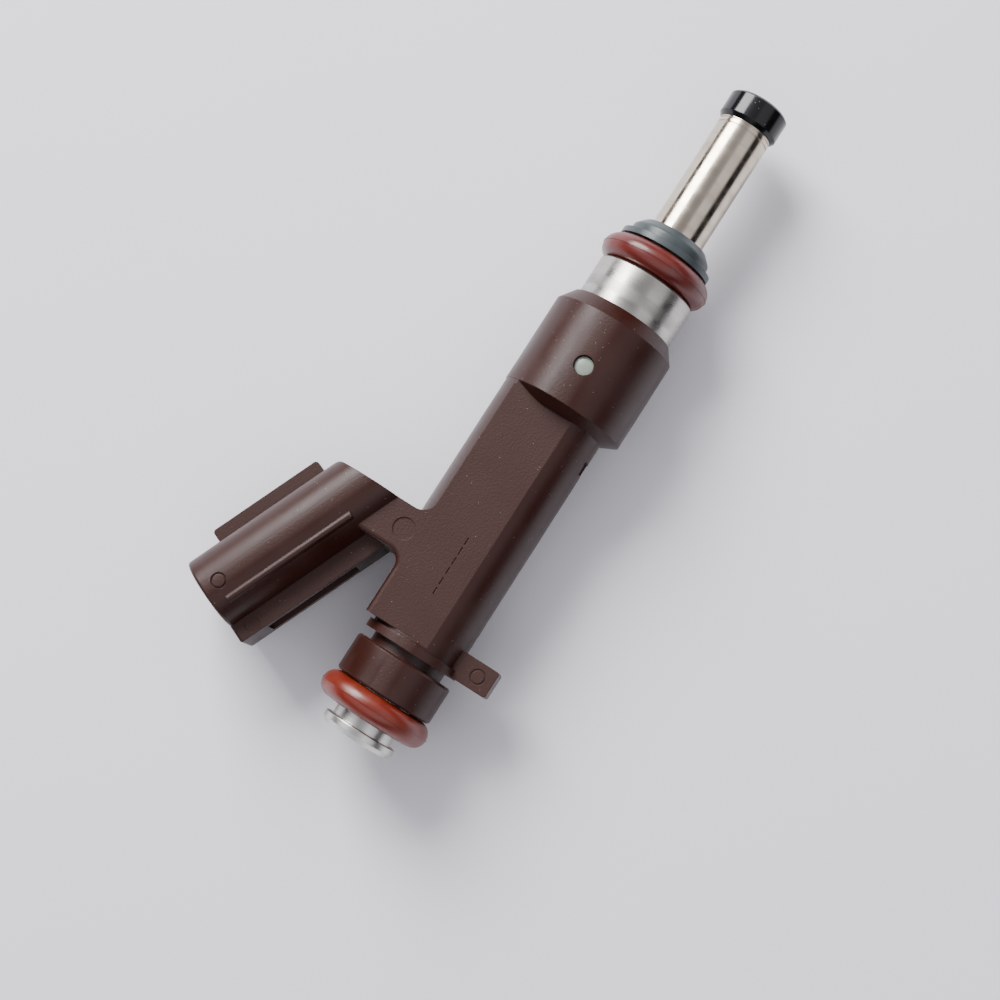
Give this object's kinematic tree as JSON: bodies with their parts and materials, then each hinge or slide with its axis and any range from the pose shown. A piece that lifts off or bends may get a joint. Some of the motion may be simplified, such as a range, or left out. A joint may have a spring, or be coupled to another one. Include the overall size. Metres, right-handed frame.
{
  "type": "fuel injector",
  "caption": "Solenoid port fuel injector with a long slim nozzle, rail and manifold seals, a flat-sided plastic body, an angled two-pin plug socket and a lifting needle valve.",
  "frame": {"origin": "on the injector's axis, in the plane of the inlet mouth", "axes": "+X along the axis from the inlet to the nozzle tip, +Y towards the plug socket, +Z square to the moulded flats"},
  "size_m": [0.0899, 0.038, 0.0158],
  "materials": {
    "brown_plastic": "glass-filled, fine spark texture on the flats",
    "pipe_steel": "bright turned",
    "filter_plastic": "natural",
    "filter_steel": "fine mesh",
    "orange_rubber": "satin moulded",
    "housing_steel": "plated, turned",
    "magnet_iron": "plain",
    "bobbin_plastic": "moulded",
    "copper_wire": "enamelled",
    "valve_steel": "ground",
    "nozzle_steel": "drawn and polished",
    "black_plastic": "gloss",
    "red_rubber": "satin moulded",
    "grey_plastic": "satin",
    "terminal_tin": "tin plated"
  },
  "bodies": {
    "injector_body": {"overmold_body": "brown_plastic", "inlet_tube": "pipe_steel", "inlet_filter_frame": "filter_plastic", "inlet_filter_mesh": "filter_steel", "rail_o_ring": "orange_rubber", "magnetic_housing": "housing_steel", "yoke_plate": "magnet_iron", "coil_bobbin": "bobbin_plastic", "coil_winding": "copper_wire", "fixed_core": "magnet_iron", "adjusting_tube": "pipe_steel", "nonmagnetic_ring": "pipe_steel", "valve_body": "pipe_steel", "return_spring": "valve_steel", "valve_seat": "valve_steel", "orifice_plate": "valve_steel", "nozzle_tube": "nozzle_steel", "nozzle_tip_ring": "black_plastic", "manifold_o_ring": "red_rubber", "retainer_collar": "grey_plastic", "terminal_a": "terminal_tin", "terminal_b": "terminal_tin"},
    "valve_group": {"armature": "magnet_iron", "needle_tube": "valve_steel", "valve_ball": "valve_steel"}
  },
  "joints": [
    {"name": "valve_lift", "type": "slide", "parent": "injector_body", "child": "valve_group", "axis": [-1, 0, 0], "range_m": [0, 0.00008], "deforming": ["return_spring"]}
  ]
}
